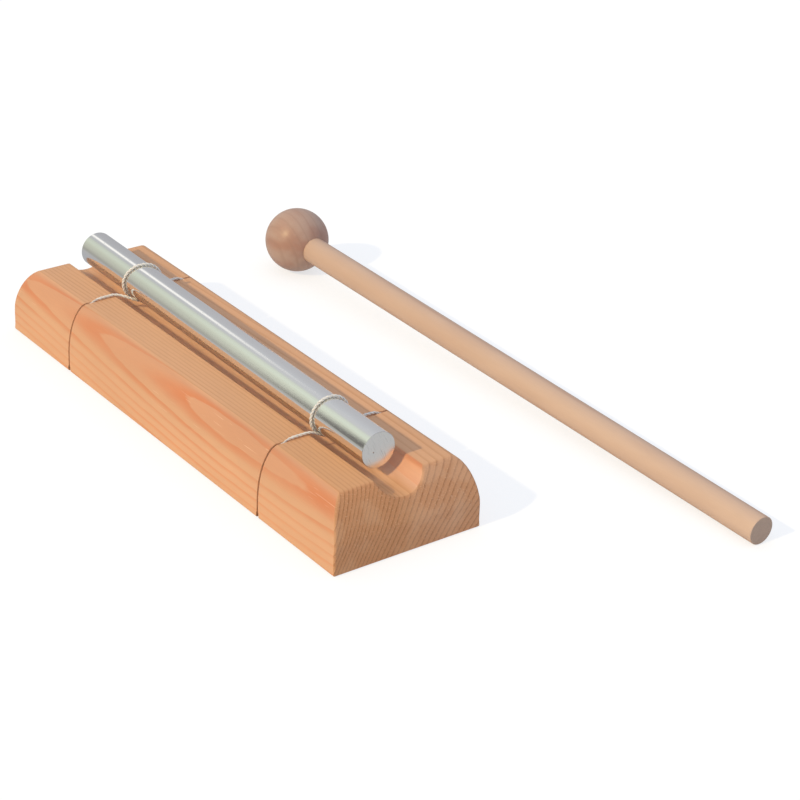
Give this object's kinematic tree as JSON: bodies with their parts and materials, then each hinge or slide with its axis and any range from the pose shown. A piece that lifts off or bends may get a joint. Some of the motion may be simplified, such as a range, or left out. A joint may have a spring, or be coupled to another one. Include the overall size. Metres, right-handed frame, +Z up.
{
  "type": "chime bar",
  "caption": "Solid metal rod hung by cord loops over a grooved wooden block with rounded shoulders, with a ball-headed wooden mallet beside it.",
  "frame": {"origin": "middle of the block's underside, on the surface that it stands on", "axes": "+X along the rod and the block, +Y across the block towards the mallet, +Z up"},
  "size_m": [0.2654, 0.1304, 0.0367],
  "materials": {
    "block_wood": "sanded softwood under a thin clear satin coat, straight grain on top and broad figure on the sides",
    "rod_aluminium": "drawn and polished along its length, sawn ends",
    "cord_fibre": "two-strand twisted cord, undyed",
    "head_wood": "turned, darker wood, waxed",
    "shaft_wood": "plain dowel, lightly sanded"
  },
  "bodies": {
    "base": {"base_block": "block_wood"},
    "slings": {"near_cord": "cord_fibre", "far_cord": "cord_fibre"},
    "rod": {"chime_rod": "rod_aluminium"},
    "mallet": {"mallet_head": "head_wood", "mallet_shaft": "shaft_wood"}
  },
  "joints": [
    {"name": "rod_bounce", "type": "slide", "parent": "base", "child": "slings", "axis": [0, 0, 1], "range_m": [-0.002, 0.0015], "stiffness_N_per_m": 800, "springref_m": 0.00076, "deforming": ["near_cord", "far_cord"]},
    {"name": "rod_roll", "type": "hinge", "parent": "slings", "child": "rod", "pos_m": [-0.0029, 0, 0.02915], "axis": [0.9999, -0.0108, 0], "continuous": true},
    {"name": "mallet_lift", "type": "slide", "parent": "base", "child": "mallet", "axis": [0, 0, 1], "range_m": [0, 0.15]}
  ]
}
